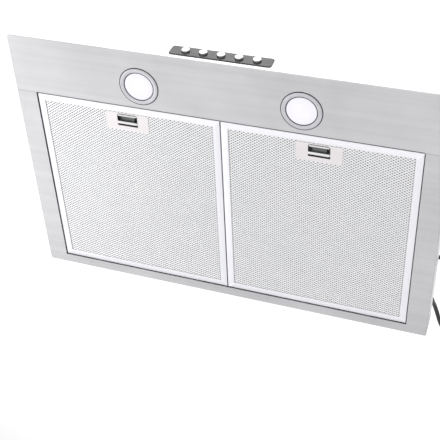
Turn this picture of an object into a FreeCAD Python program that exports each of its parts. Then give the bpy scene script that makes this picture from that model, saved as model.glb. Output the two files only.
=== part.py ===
"""Under cabinet range hood: a shallow stainless canopy with two lift-out grease filters.

Millimetres. +X is to the right of a person who stands at the cooker, +Y is towards the wall
and +Z is up. The origin is in the top mounting face, midway between the four cabinet screws.
"""

import FreeCAD, Part
import math
import os

V = FreeCAD.Vector
os.makedirs("parts", exist_ok=True)

# Driving dimensions of the canopy
WIDTH = 749.3
DEPTH = 500.0
HEIGHT = 130.0
RIM = 45.0
SHEET = 1.0
HOUSING_INSET = 16.0
SHOULDER = 28.0
CORNER_R = 2.0
FOLD_R = 3.5
BACK_LEDGE = 4.0
FRONT_LEDGE = 12.0
SIDE_FLANGE = 10.0

# Grease filters, one each side of the middle
FILTER_OUTER_X = 336.3
FILTER_GAP = 1.4
FILTER_FRONT = -141.0
FILTER_BACK = 229.5
FILTER_THICK = 10.0
FILTER_RECESS = 1.6
FRAME_WALL = 0.9
FRAME_LIP = 12.5
MESH_SHEET = 0.55
OPENING_GAP = 1.2
CATCH_HEIGHT = 4.5

# Filter latches
LATCH_WIDTH = 78.0
LATCH_FRONT = -126.5
LATCH_BACK = -92.0
BAR_R = 2.6
BAR_Y = -107.3

# Lamps, controls and duct
LAMP_X = 139.0
LAMP_Y = -185.5
LAMP_R = 34.2
LENS_R = 25.2
LAMP_HOLE_R = 30.0
LAMP_NECK_R = 29.6
BUTTONS = ("off", "low", "medium", "high", "light")
BUTTON_PITCH = 30.0
BUTTON_R = 7.0
DUCT_Y = 165.0
DUCT_R = 74.8
DUCT_LENGTH = 48.0
FLAP_PIN_Z = 22.0
FLAP_PIN_R = 1.5
KNUCKLE_R = 2.6
KNUCKLE_HALF = 8.0
FRONT_KNUCKLES = (-50.0, 50.0)
REAR_KNUCKLES = (-24.0, 24.0)

# Blower
BLOWER = V(-118.0, 10.0, 0.0)
WHEEL_R = 104.0
SCROLL_START_R = 113.0
SCROLL_END_R = 165.0
SCROLL_START_DEG = 50
SCROLL_BOTTOM = -97.0
INLET_R = 80.0
BLADES = 30

# Cabinet screws
SCREW_X = 290.0
SCREW_Y = 100.0
SCREW_HOLE_R = 3.5
WALL_SCREW_X = 280.0
WALL_SCREW_Z = -40.0
WALL_HOLE_R = 3.0

# Mains lead
CORD_D = 8.0
COIL_AT = V(215.0, 136.0, 0.0)
COIL_MID_R = 44.0
COIL_LIFT = 1.4
TIE_THICK = 1.2

# Planes that several parts share
BACK = DEPTH / 2
FRONT = -DEPTH / 2
SIDE = WIDTH / 2
UNDER = -HEIGHT
SHOULDER_Z = RIM - HEIGHT
SHOULDER_X = SIDE - SHOULDER
SEAM_Y = FILTER_FRONT - OPENING_GAP
OPENING_X = FILTER_OUTER_X + OPENING_GAP
OPENING_BACK = FILTER_BACK + OPENING_GAP
CATCH_Z = UNDER + CATCH_HEIGHT
HOUSING_X = SIDE - HOUSING_INSET
HOUSING_FRONT = FRONT + HOUSING_INSET - 2.0
HOUSING_TOP_FRONT = HOUSING_FRONT + 68.0
DUCT_AT = V(0.0, DUCT_Y, 0.0)
PASS = 2.0  # how far a cutting tool runs past a face

# The lead leaves the housing's right side, hangs in a loop behind it and comes over the top
CORD_ROUTE = [
    V(369.5, 242, -43),
    V(372.5, 254.5, -34),
    V(376, 268, -29),
    V(381.5, 284, -28.5),
    V(390, 303, -35),
    V(404, 321, -41),
    V(421, 333, -43.5),
    V(446, 337, -43.5),
    V(471, 327, -40),
    V(488, 303, -34),
    V(491, 272, -24),
    V(482, 241, -12),
    V(462, 214, -2),
    V(434, 197, 5),
    V(403, 186, 9.5),
    V(370, 180, 9.5),
    V(334, 175, 5.6),
    V(296, 179, 5.4),
    V(256, 184, 5.4),
]
SLEEVE_LENGTH = 26.0
SLEEVE_ALONG = (CORD_ROUTE[1] - CORD_ROUTE[0]).normalize()
SLEEVE_START = CORD_ROUTE[0] - SLEEVE_ALONG * SLEEVE_LENGTH
RELIEF_AT = V(HOUSING_X, SLEEVE_START.y, SLEEVE_START.z)

nodes = {}


def block(x0, x1, y0, y1, z0, z1):
    """A box between two values on each axis, in either order."""
    low = V(min(x0, x1), min(y0, y1), min(z0, z1))
    return Part.makeBox(abs(x1 - x0), abs(y1 - y0), abs(z1 - z0), low)


def rod(at, along, radius, length):
    """A cylinder that starts at a point and runs along a direction."""
    return Part.makeCylinder(radius, length, at, along)


def ring(at, along, outer, inner, length):
    """A tube that starts at a point and runs along a direction."""
    overrun = V(along).normalize() * PASS
    return rod(at, along, outer, length).cut(rod(at - overrun, along, inner, length + 2 * PASS))


def joined(shapes):
    """One clean solid from pieces that touch or overlap."""
    return shapes[0].multiFuse(shapes[1:]).removeSplitter()


def rounded(shape, radius, wanted):
    """Fillets the straight edges whose middle point and direction pass a test."""
    edges = []
    for edge in shape.Edges:
        middle = edge.valueAt((edge.FirstParameter + edge.LastParameter) / 2)
        if wanted(middle, edge.tangentAt(edge.FirstParameter)):
            edges.append(edge)
    return shape.makeFillet(radius, edges)


def prism(points, direction):
    """A solid from a closed polygon and a direction."""
    return Part.Face(Part.makePolygon(points + points[:1])).extrude(direction)


def screw(at, along, head_r, head_h, shank_r, shank):
    """A pan-head screw: the head stands off the point, the shank goes the other way."""
    head = rod(at, along, head_r, head_h)
    crown = [e for e in head.Edges if abs((e.CenterOfMass - at).dot(along) - head_h) < 0.1]
    head = head.makeFillet(head_h * 0.45, crown)
    return joined([head, rod(at, along * -1, shank_r, shank)])


# ---------------------------------------------------------------- canopy sheet metal

SHOULDER_TOP = SHOULDER_Z + SHEET
SHOULDER_SCREWS = [V(x, y, SHOULDER_TOP) for x in (-366.0, 366.0) for y in (-215.0, -60.0, 80.0, 215.0)]
SHOULDER_SCREWS += [V(x, -243.0, SHOULDER_TOP) for x in (-230.0, 230.0)]
COVER_SCREWS = [V(x, BACK, z) for x in (-130.0, 130.0) for z in (-74.0, -12.0)]
COLLAR_SCREW_RING = 82.0
COLLAR_SCREWS = [
    DUCT_AT + V(math.cos(a) * COLLAR_SCREW_RING, math.sin(a) * COLLAR_SCREW_RING, SHEET) for a in (0.6, 2.2, 3.9, 5.3)
]
COVER_HALF = 140.0
RELIEF_HOLE_R = 8.0


def housing_shell():
    """Upper housing: flat top, sloping front, sides and back folded from one sheet."""
    slope = (HOUSING_TOP_FRONT - HOUSING_FRONT) / RIM_TO_TOP
    thick = SHEET * math.hypot(1, slope)

    def section(front_top, front_bottom, back, top, bottom, half):
        corners = [(back, bottom), (back, top), (front_top, top), (front_bottom, bottom)]
        return prism([V(-half, y, z) for y, z in corners], V(2 * half, 0, 0))

    outer = section(HOUSING_TOP_FRONT, HOUSING_FRONT, BACK, 0, SHOULDER_Z, HOUSING_X)
    outer = rounded(outer, CORNER_R, lambda m, t: m.z > SHOULDER_Z + 1)
    inner = section(
        HOUSING_TOP_FRONT + thick - slope * SHEET,
        HOUSING_FRONT + thick - slope * SHEET,
        BACK - SHEET,
        -SHEET,
        SHOULDER_Z - SHEET,
        HOUSING_X - SHEET,
    )
    flange = block(-HOUSING_X - 13, HOUSING_X + 13, HOUSING_FRONT - 11, BACK, SHOULDER_Z, SHOULDER_Z + SHEET)
    flange = rounded(flange, 3.0, lambda m, t: abs(t.z) > 0.9 and m.y < 0)
    shell = joined([outer, flange]).cut(inner)
    shell = shell.cut(rod(DUCT_AT - V(0, 0, PASS * 2), V(0, 0, 1), DUCT_R - SHEET, 4 * PASS))
    for x in (-SCREW_X, SCREW_X):
        for y in (-SCREW_Y, SCREW_Y):
            shell = shell.cut(rod(V(x, y, -PASS * 2), V(0, 0, 1), SCREW_HOLE_R, 4 * PASS))
    for x in (-WALL_SCREW_X, WALL_SCREW_X):
        shell = shell.cut(rod(V(x, BACK - PASS, WALL_SCREW_Z), V(0, 1, 0), WALL_HOLE_R, 2 * PASS))
    shell = shell.cut(block(-COVER_HALF + 15, COVER_HALF - 15, BACK - PASS, BACK + PASS, -70, -16))
    shell = shell.cut(rod(RELIEF_AT - V(PASS, 0, 0), V(1, 0, 0), RELIEF_HOLE_R, 2 * PASS))
    return shell


def canopy_tray():
    """Back and side margins of the underside, with the rim and the shoulder, as one C-section."""
    outer = block(-SIDE, SIDE, SEAM_Y, BACK, UNDER, SHOULDER_Z)
    outer = rounded(outer, FOLD_R, lambda m, t: abs(t.z) > 0.9 and m.y > 0)
    outer = rounded(outer, CORNER_R, lambda m, t: abs(m.z - UNDER) < 0.1 and m.y > SEAM_Y + 1)
    start = SEAM_Y - PASS
    room = block(-SIDE + SHEET, SIDE - SHEET, start, BACK - SHEET, UNDER + SHEET, SHOULDER_Z - SHEET)
    opening = block(-OPENING_X, OPENING_X, start, OPENING_BACK, UNDER - PASS, UNDER + PASS)
    above = block(-SHOULDER_X, SHOULDER_X, start, BACK - BACK_LEDGE, SHOULDER_Z - PASS, SHOULDER_Z + PASS)
    flange_back = OPENING_BACK + SHEET
    flanges = [block(-OPENING_X, OPENING_X, OPENING_BACK, flange_back, UNDER, CATCH_Z)]
    for side in (-1, 1):
        inner, outer_x = side * OPENING_X, side * (OPENING_X + SHEET)
        flanges.append(block(inner, outer_x, SEAM_Y, flange_back, UNDER, UNDER + SIDE_FLANGE))
    return joined([outer.cut(room).cut(opening).cut(above)] + flanges)


def front_panel():
    """Front margin with the lamps, the fascia with the buttons and its return, from one sheet."""
    seam = SEAM_Y - 0.4
    outer = block(-SIDE, SIDE, FRONT, seam, UNDER, SHOULDER_Z)
    outer = rounded(outer, FOLD_R, lambda m, t: abs(t.z) > 0.9 and m.y < FRONT + 1)
    outer = rounded(outer, CORNER_R, lambda m, t: abs(m.z - UNDER) < 0.1 and m.y < seam - 1)
    end = seam + PASS
    room = block(-SIDE + SHEET, SIDE - SHEET, FRONT + SHEET, end, UNDER + SHEET, SHOULDER_Z - SHEET)
    above = block(-SHOULDER_X, SHOULDER_X, FRONT + FRONT_LEDGE, end, SHOULDER_Z - PASS, SHOULDER_Z + PASS)
    pieces = [outer.cut(room).cut(above)]
    pieces.append(block(-OPENING_X, OPENING_X, seam - SHEET, seam, UNDER, CATCH_Z))
    for side in (-1, 1):
        inner, outer_x = side * (OPENING_X + 3), side * (SIDE - 3)
        pieces.append(block(inner, outer_x, seam - 12, seam + 14, UNDER + SHEET, UNDER + 2 * SHEET))
    panel = joined(pieces)
    for x in (-LAMP_X, LAMP_X):
        panel = panel.cut(rod(V(x, LAMP_Y, UNDER - PASS), V(0, 0, 1), LAMP_HOLE_R, 2 * PASS))
    for i in range(len(BUTTONS)):
        panel = panel.cut(rod(V(button_x(i), FRONT - PASS, BUTTON_Z), V(0, 1, 0), BUTTON_R + 0.4, 2 * PASS))
    return panel


def make_canopy():
    shell, tray, panel = housing_shell(), canopy_tray(), front_panel()
    cover = block(-COVER_HALF, COVER_HALF, BACK - SHEET - 0.85, BACK - SHEET, -80, -6)
    collar = make_collar()
    screws = []
    for at in SHOULDER_SCREWS:
        hole = rod(at - V(0, 0, 10), V(0, 0, 1), 1.75, 12)
        shell, tray, panel = shell.cut(hole), tray.cut(hole), panel.cut(hole)
        screws.append(screw(at, V(0, 0, 1), 3.6, 2.0, 1.7, 7))
    for at in COVER_SCREWS:
        hole = rod(at - V(0, 6, 0), V(0, 1, 0), 1.75, 8)
        shell, cover = shell.cut(hole), cover.cut(hole)
        screws.append(screw(at, V(0, 1, 0), 3.2, 1.6, 1.7, 5))
    for at in COLLAR_SCREWS:
        hole = rod(at - V(0, 0, 8), V(0, 0, 1), 1.75, 10)
        shell, collar = shell.cut(hole), collar.cut(hole)
        nodes["blower_casing"] = nodes["blower_casing"].cut(hole)
        screws.append(screw(at, V(0, 0, 1), 3.2, 1.6, 1.7, 5))
    nodes["housing_shell"] = shell
    nodes["canopy_tray"] = tray
    nodes["front_panel"] = panel
    nodes["rear_outlet_cover"] = cover
    nodes["duct_collar"] = collar
    nodes["casing_screws"] = Part.makeCompound(screws)


# ---------------------------------------------------------------- duct collar and damper


def make_collar():
    """Round spigot on a flange, with an inner bead that the damper flaps rest on."""
    bore = DUCT_R - SHEET
    flange = ring(DUCT_AT, V(0, 0, 1), 88.0, bore, SHEET)
    spigot = ring(DUCT_AT, V(0, 0, 1), DUCT_R, bore, DUCT_LENGTH)
    bead = ring(DUCT_AT + V(0, 0, FLAP_PIN_Z - 3.8), V(0, 0, 1), bore + SHEET / 2, bore - 3.2, SHEET)
    collar = joined([flange, spigot, bead])
    return collar.cut(pin_line(FLAP_PIN_R + 0.05, DUCT_R + 5))


def pin_line(radius, half):
    """A cylinder on the damper's hinge line, centred on the duct."""
    return rod(V(-half, DUCT_Y, FLAP_PIN_Z), V(1, 0, 0), radius, 2 * half)


def damper_flap(side, knuckles, other_knuckles):
    """A half-round flap with rolled knuckles; side is -1 for the front half, 1 for the rear."""
    plate_low = FLAP_PIN_Z - KNUCKLE_R
    plate_thick = 0.8
    disc = rod(DUCT_AT + V(0, 0, plate_low), V(0, 0, 1), DUCT_R - SHEET - 1.3, plate_thick)
    half = disc.common(block(-100, 100, DUCT_Y + side * 0.6, DUCT_Y + side * 100, 0, DUCT_LENGTH))
    for x in other_knuckles:
        notch = pin_line(KNUCKLE_R + 0.6, KNUCKLE_HALF + 1)
        half = half.cut(notch.translated(V(x, 0, 0)))
    shapes = [half]
    for x in knuckles:
        shapes.append(pin_line(KNUCKLE_R, KNUCKLE_HALF).translated(V(x, 0, 0)))
        low_x, high_x = x - KNUCKLE_HALF, x + KNUCKLE_HALF
        shapes.append(block(low_x, high_x, DUCT_Y, DUCT_Y + side * 3, plate_low, plate_low + plate_thick))
    return joined(shapes).cut(pin_line(FLAP_PIN_R + 0.08, 100))


def make_damper():
    nodes["damper_flap_front"] = damper_flap(-1, FRONT_KNUCKLES, REAR_KNUCKLES)
    nodes["damper_flap_rear"] = damper_flap(1, REAR_KNUCKLES, FRONT_KNUCKLES)
    nodes["damper_pin"] = pin_line(FLAP_PIN_R, DUCT_R - 0.2)


# ---------------------------------------------------------------- grease filters


def make_filter(name, side):
    """Channel frame round two perforated sheets and a knitted core, with hooks and a latch."""
    inner_x = side * FILTER_GAP / 2
    outer_x = side * FILTER_OUTER_X
    middle = (inner_x + outer_x) / 2
    half = abs(outer_x - inner_x) / 2
    bottom = UNDER + FILTER_RECESS
    top = bottom + FILTER_THICK
    inside = half - FRAME_WALL
    web_front = FILTER_FRONT + FRAME_WALL
    web_back = FILTER_BACK - FRAME_WALL
    fit = 0.05

    def slab(half_x, y0, y1, z0, z1):
        return block(middle - half_x, middle + half_x, y0, y1, z0, z1)

    frame = slab(half, FILTER_FRONT, FILTER_BACK, bottom, top)
    frame = rounded(frame, 1.2, lambda m, t: abs(t.z) > 0.9)
    frame = frame.cut(slab(inside, web_front, web_back, bottom + FRAME_WALL, top - FRAME_WALL))
    lip_half = half - FRAME_LIP
    frame = frame.cut(slab(lip_half, FILTER_FRONT + FRAME_LIP, FILTER_BACK - FRAME_LIP, bottom - PASS, top + PASS))
    frame = frame.cut(slab(11.6, FILTER_FRONT - PASS, web_front + PASS, UNDER + 5.3, UNDER + 7.1))
    nodes[f"filter_frame_{name}"] = frame

    mesh_low = bottom + FRAME_WALL + fit
    mesh_top = mesh_low + MESH_SHEET
    window = slab(18.5, -122.5, -100.8, bottom - PASS, mesh_top + 1.2)
    face = slab(inside - fit, web_front + fit, web_back - fit, mesh_low, mesh_top).cut(window)
    nodes[f"filter_face_mesh_{name}"] = face
    back_low = top - FRAME_WALL - fit - MESH_SHEET
    back_sheet = slab(inside - fit, web_front + fit, web_back - fit, back_low, back_low + MESH_SHEET)
    nodes[f"filter_back_mesh_{name}"] = back_sheet
    case_low, case_top = mesh_top + fit, back_low - 0.6
    core = slab(inside - fit, web_front + fit, web_back - fit, mesh_top + fit, back_low - fit)
    nodes[f"filter_core_{name}"] = core.cut(slab(22.6, web_front - PASS, -91.4, UNDER, 0))

    hook_z = UNDER + 5.0
    hooks = []
    for x in (-100, 100):
        arm = slab(10, FILTER_BACK, FILTER_BACK + 6.5, hook_z, hook_z + SHEET)
        foot = slab(10, FILTER_BACK, FILTER_BACK + SHEET, hook_z, top - 1)
        hooks.append(joined([arm, foot]).translated(V(x, 0, 0)))
    nodes[f"filter_hooks_{name}"] = Part.makeCompound(hooks)

    case = slab(22, -139, LATCH_BACK, case_low, case_top)
    case = case.cut(slab(21.2, -138.2, LATCH_BACK - 0.8, case_low + 0.6, case_top - 0.6)).cut(window)
    case = case.cut(slab(11.6, -140, -137.5, UNDER + 5.3, UNDER + 7.1))
    nodes[f"latch_case_{name}"] = case
    plate = slab(LATCH_WIDTH / 2, LATCH_FRONT, LATCH_BACK, bottom + 0.3, bottom + FRAME_WALL)
    nodes[f"latch_plate_{name}"] = rounded(plate, 1.5, lambda m, t: abs(t.z) > 0.9).cut(window)

    slide_z = UNDER + 4.9
    slide = slab(12, -136, -103.5, slide_z, slide_z + SHEET)
    seat = slab(12, -104.3, -103.5, slide_z, case_top - 1.0)
    bar = rod(V(middle - 17.5, BAR_Y, UNDER + BAR_R - 0.2), V(1, 0, 0), BAR_R, 35)
    bar = bar.makeFillet(0.8, [e for e in bar.Edges if abs(e.tangentAt(e.FirstParameter).x) < 0.1])
    neck = slab(16, BAR_Y + 0.7, BAR_Y + 1.9, UNDER + BAR_R, slide_z + SHEET)
    nodes[f"latch_pull_{name}"] = joined([slide, seat, bar, neck])
    tongue = slab(11, SEAM_Y - 3.6, -118, slide_z + SHEET, slide_z + SHEET + 0.6)
    nodes[f"latch_tongue_{name}"] = tongue
    springs = [spring(V(middle + x, -103.4, UNDER + 7.1), 10.3) for x in (-7, 7)]
    nodes[f"latch_springs_{name}"] = Part.makeCompound(springs)


def spring(at, length):
    """A light compression spring that runs along +Y from a point."""
    helix = Part.makeHelix(length / 6, length, 1.35)
    start = Part.Wire(Part.Circle(V(1.35, 0, 0), V(0, 1, 0), 0.22).toShape())
    coil = Part.Wire(helix).makePipeShell([start], True, True)
    coil.rotate(V(0, 0, 0), V(1, 0, 0), -90)
    return coil.translated(at)


# ---------------------------------------------------------------- lamps


def make_lamps():
    clips, boards = [], []
    for name, x in (("left", -LAMP_X), ("right", LAMP_X)):
        at = V(x, LAMP_Y, UNDER)
        bezel = ring(at - V(0, 0, 1.3), V(0, 0, 1), LAMP_R, LENS_R + 0.4, 1.3)
        face_z = UNDER - 1.3
        rim = [e for e in bezel.Edges if abs(e.BoundBox.ZMax - face_z) < 0.05 and e.BoundBox.XLength > 60]
        bezel = bezel.makeFillet(0.8, rim)
        neck = ring(at - V(0, 0, 0.2), V(0, 0, 1), LAMP_NECK_R, 27.0, 6.2)
        nodes[f"lamp_bezel_{name}"] = joined([bezel, neck])
        lens = rod(at - V(0, 0, 1.0), V(0, 0, 1), LENS_R, 3.0)
        nodes[f"lamp_lens_{name}"] = lens.makeChamfer(0.5, [e for e in lens.Edges if e.BoundBox.ZMax < UNDER - 0.9])
        can = rod(at + V(0, 0, 6), V(0, 0, 1), LAMP_NECK_R, 20)
        nodes[f"lamp_can_{name}"] = can.cut(rod(at + V(0, 0, 5), V(0, 0, 1), 28.4, 20))
        boards.append(rod(at + V(0, 0, 6.02), V(0, 0, 1), 28.3, 1.6))
        for side in (-1, 1):
            end = x + side * 36
            arm = block(x + side * LAMP_NECK_R, end, LAMP_Y - 4, LAMP_Y + 4, UNDER + 13, UNDER + 13.6)
            leg = block(end - side * 0.6, end, LAMP_Y - 4, LAMP_Y + 4, UNDER + SHEET, UNDER + 13.6)
            clips.append(joined([arm, leg]))
    nodes["lamp_clips"] = Part.makeCompound(clips)
    nodes["led_boards"] = Part.makeCompound(boards)


# ---------------------------------------------------------------- push buttons

BUTTON_Z = UNDER + RIM / 2
RIM_TO_TOP = HEIGHT - RIM


def button_x(index):
    """The buttons are evenly spaced about the middle of the fascia."""
    return (index - (len(BUTTONS) - 1) / 2) * BUTTON_PITCH


def make_controls():
    half = button_x(len(BUTTONS) - 1) + 26
    face_y = FRONT - 1.4
    bezel = block(-half, half, face_y, FRONT, BUTTON_Z - 13, BUTTON_Z + 13)
    bezel = rounded(bezel, 5.0, lambda m, t: abs(t.y) > 0.9)
    front_edges = [e for e in bezel.Edges if e.BoundBox.YMax < face_y + 0.01]
    bezel = bezel.makeFillet(0.6, front_edges)
    case = block(-half + 2, half - 2, -240, -222, BUTTON_Z - 9, BUTTON_Z + 9)
    for side in (-1, 1):
        post = block(side * (half - 8), side * (half - 2), FRONT + SHEET, -240, BUTTON_Z - 5, BUTTON_Z + 5)
        case = joined([case, post])
    for i, name in enumerate(BUTTONS):
        at = V(button_x(i), 0, BUTTON_Z)
        bezel = bezel.cut(rod(at + V(0, face_y - PASS, 0), V(0, 1, 0), BUTTON_R + 0.4, 6))
        case = case.cut(rod(at + V(0, -241, 0), V(0, 1, 0), 2.7, 15))
        cap = rod(at + V(0, FRONT - 5.0, 0), V(0, 1, 0), BUTTON_R, 6.3)
        cap = cap.makeFillet(1.0, [e for e in cap.Edges if e.BoundBox.YMax < FRONT - 4.9])
        collar = rod(at + V(0, FRONT + 1.3, 0), V(0, 1, 0), BUTTON_R + 1.6, 1.2)
        stem = rod(at + V(0, FRONT + 2.0, 0), V(0, 1, 0), 2.5, 16)
        nodes[f"button_{name}"] = joined([cap, collar, stem])
    nodes["control_bezel"] = bezel
    nodes["switch_block"] = case


# ---------------------------------------------------------------- blower


def scroll_radius(degrees):
    """The casing's radius grows evenly with angle, from the cut-off to the outlet."""
    share = (degrees - SCROLL_START_DEG) / (360 - SCROLL_START_DEG)
    return SCROLL_START_R + (SCROLL_END_R - SCROLL_START_R) * share


def scroll_point(degrees, extra=0.0):
    radius = scroll_radius(degrees) + extra
    return BLOWER + V(math.cos(math.radians(degrees)) * radius, math.sin(math.radians(degrees)) * radius, 0)


def outlet_side(grow):
    """The slanting side of the outlet next to the cut-off: a point on it and its inward normal."""
    corner, tip = V(-80, 150, 0), scroll_point(SCROLL_START_DEG)
    normal = V(corner.y - tip.y, tip.x - corner.x, 0).normalize()
    return corner + V(-grow, -grow * 0.3, 0), normal


def cutoff_angle(grow):
    """Where the spiral and the outlet's slanting side meet, both moved outwards alike."""
    corner, normal = outlet_side(grow)
    low, high = 20.0, 90.0
    while high - low > 0.01:
        middle = (low + high) / 2
        if (scroll_point(middle, grow) - corner).dot(normal) > 0:
            low = middle
        else:
            high = middle
    return low


def scroll_face(z, grow=0.0):
    """The casing's plan: a spiral of arcs, then the outlet box under the duct."""
    first = cutoff_angle(grow)
    step = (360 - first) / 8
    edges = []
    for i in range(8):
        start = first + i * step
        points = [scroll_point(start + step * k / 2, grow) for k in range(3)]
        edges.append(Part.Arc(*points).toShape())
    box = [scroll_point(360, grow), V(50 + grow, 44, 0), V(80 + grow, 112, 0), V(80 + grow, 244 + grow, 0)]
    box += [V(-80 - grow, 244 + grow, 0), outlet_side(grow)[0], scroll_point(first, grow)]
    edges += [Part.LineSegment(a, b).toShape() for a, b in zip(box, box[1:])]
    return Part.Face(Part.Wire(edges)).translated(V(0, 0, z))


def make_blower():
    top = -SHEET - 0.05
    flange_grow = 8.0
    depth = top - SCROLL_BOTTOM
    casing = scroll_face(SCROLL_BOTTOM, 0).extrude(V(0, 0, depth))
    casing = casing.cut(scroll_face(SCROLL_BOTTOM - PASS, -SHEET).extrude(V(0, 0, depth - SHEET + PASS)))
    lip = scroll_face(SCROLL_BOTTOM, flange_grow).extrude(V(0, 0, SHEET))
    lip = lip.cut(scroll_face(SCROLL_BOTTOM - PASS, -SHEET / 2).extrude(V(0, 0, 3 * PASS)))
    lip = lip.common(block(-400, 400, -300, BACK - SHEET - 1, -130, 0))
    casing = joined([casing, lip])
    casing = casing.cut(rod(DUCT_AT + V(0, 0, top - 3), V(0, 0, 1), DUCT_R - SHEET, 6))

    plate = scroll_face(SCROLL_BOTTOM - SHEET, flange_grow).extrude(V(0, 0, SHEET))
    plate = plate.common(block(-400, 400, -300, BACK - SHEET - 1, -130, 0))
    mouth = BLOWER + V(0, 0, SCROLL_BOTTOM - SHEET)
    plate = plate.cut(rod(mouth - V(0, 0, PASS), V(0, 0, 1), INLET_R, 2 * PASS + SHEET))
    bell = Part.makeCone(INLET_R + 3.0, INLET_R - 6.0, 9.0, mouth, V(0, 0, 1))
    bell = bell.cut(Part.makeCone(INLET_R + 2.0, INLET_R - 7.0, 9.0, mouth, V(0, 0, 1)))
    plate = joined([plate, bell])

    screws = []
    spots = [scroll_point(a, 4.5) for a in (85, 150, 215, 280, 340)]
    spots += [V(84.5, 180, 0), V(-84.5, 200, 0)]
    for spot in spots:
        at = spot + V(0, 0, SCROLL_BOTTOM - SHEET)
        hole = rod(at - V(0, 0, PASS), V(0, 0, 1), 1.75, 8)
        casing, plate = casing.cut(hole), plate.cut(hole)
        screws.append(screw(at, V(0, 0, -1), 3.4, 1.8, 1.7, 4.5))
    nodes["blower_casing"] = casing
    nodes["blower_inlet_plate"] = plate
    nodes["blower_screws"] = Part.makeCompound(screws)

    guard_z = SCROLL_BOTTOM - SHEET - 1.6
    wires = [Part.makeTorus(r, 1.3, BLOWER + V(0, 0, guard_z)) for r in (24, 46, 68, INLET_R + 8)]
    for angle in (0, 60, 120):
        along = V(math.cos(math.radians(angle)), math.sin(math.radians(angle)), 0)
        wires.append(rod(BLOWER + along * -(INLET_R + 8) + V(0, 0, guard_z - 0.6), along, 1.3, 2 * INLET_R + 16))
    nodes["inlet_guard"] = joined(wires)


def make_wheel():
    """Forward-curved blades between a back plate and a ring, on a hub."""
    low, high = -88.0, -35.0
    hub_r, shaft_r = 13.0, 4.0
    plate = rod(BLOWER + V(0, 0, high), V(0, 0, 1), WHEEL_R, 1.5)
    rim = ring(BLOWER + V(0, 0, low), V(0, 0, 1), WHEEL_R, WHEEL_R - 12, 2.0)
    hub = rod(BLOWER + V(0, 0, high - 20), V(0, 0, 1), hub_r, 20)
    start = Part.Arc(V(WHEEL_R - 14, 0, 0), V(WHEEL_R - 7.5, 2.4, 0), V(WHEEL_R - 1.5, 9.5, 0)).toShape()
    back = Part.Arc(V(WHEEL_R - 14, 1.2, 0), V(WHEEL_R - 8, 3.6, 0), V(WHEEL_R - 2.5, 10.2, 0)).toShape()
    outline = [start, back]
    for far in (True, False):
        on_back = back.valueAt(back.LastParameter if far else back.FirstParameter)
        on_front = start.valueAt(start.LastParameter if far else start.FirstParameter)
        outline.append(Part.LineSegment(on_back, on_front).toShape())
    blade = Part.Face(Part.Wire(Part.__sortEdges__(outline))).extrude(V(0, 0, high - low + 0.5))
    blades = []
    for i in range(BLADES):
        copy = blade.copy()
        copy.rotate(V(0, 0, 0), V(0, 0, 1), i * 360 / BLADES)
        blades.append(copy.translated(BLOWER + V(0, 0, low + 0.2)))
    wheel = joined([plate, rim, hub] + blades)
    nodes["fan_wheel"] = wheel.cut(rod(BLOWER + V(0, 0, -120), V(0, 0, 1), shaft_r + 0.03, 120))
    nodes["motor_shaft"] = rod(BLOWER + V(0, 0, high - 28), V(0, 0, 1), shaft_r, 48)
    corners = [V(math.cos(k * math.pi / 3) * 7.5, math.sin(k * math.pi / 3) * 7.5, 0) for k in range(6)]
    nut = prism(corners, V(0, 0, 5.5))
    nut = nut.cut(rod(V(0, 0, -PASS), V(0, 0, 1), shaft_r + 0.02, 12))
    nodes["wheel_nut"] = nut.translated(BLOWER + V(0, 0, high - 25.5))
    motor = rod(BLOWER + V(0, 0, -30), V(0, 0, 1), 48, 27.9)
    motor = joined([motor, rod(BLOWER + V(0, 0, -33), V(0, 0, 1), 15, 4)])
    low_rim = [e for e in motor.Edges if abs(e.BoundBox.ZMax + 30) < 0.05 and e.BoundBox.XLength > 80]
    motor = motor.makeFillet(3.0, low_rim)
    nodes["motor"] = motor.cut(rod(BLOWER + V(0, 0, -40), V(0, 0, 1), shaft_r + 0.06, 28))


def make_electrics():
    box = block(225, 320, 150, 235, -60, -SHEET - 0.05)
    box = rounded(box, 3.0, lambda m, t: abs(t.z) > 0.9)
    nodes["junction_box"] = box.cut(block(226, 319, 151, 234, -59, 0))
    can = rod(V(120, 60, -22), V(1, 0, 0), 17, 55)
    can = can.makeFillet(2.5, [e for e in can.Edges if abs(e.tangentAt(e.FirstParameter).x) < 0.1])
    nodes["run_capacitor"] = can

    def band(y0, y1, z0, z1):
        return block(140, 154, y0, y1, z0, z1)

    loop = ring(V(140, 60, -22), V(1, 0, 0), 18.2, 17.05, 14).cut(block(139, 155, 30, 90, -5.8, 0))
    feet = band(32, 88, -2.1, -1.05).cut(block(139, 155, 42.2, 77.8, -3, 0))
    bridge = band(42, 78, -6.6, -5.6)
    legs = [band(41, 42.2, -6.6, -1.05), band(77.8, 79, -6.6, -1.05)]
    strap = joined([loop, feet, bridge] + legs)
    nodes["capacitor_strap"] = strap.cut(rod(V(110, 60, -22), V(1, 0, 0), 17.05, 80))


# ---------------------------------------------------------------- mains lead

COIL_START = COIL_AT + V(0, COIL_MID_R + CORD_D / 2, COIL_LIFT + CORD_D / 2)
COIL_END = COIL_AT + V(-COIL_MID_R - CORD_D / 2, 0, 13.5)
PLUG_AT = COIL_END + V(0, -81.5, 0)


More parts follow.
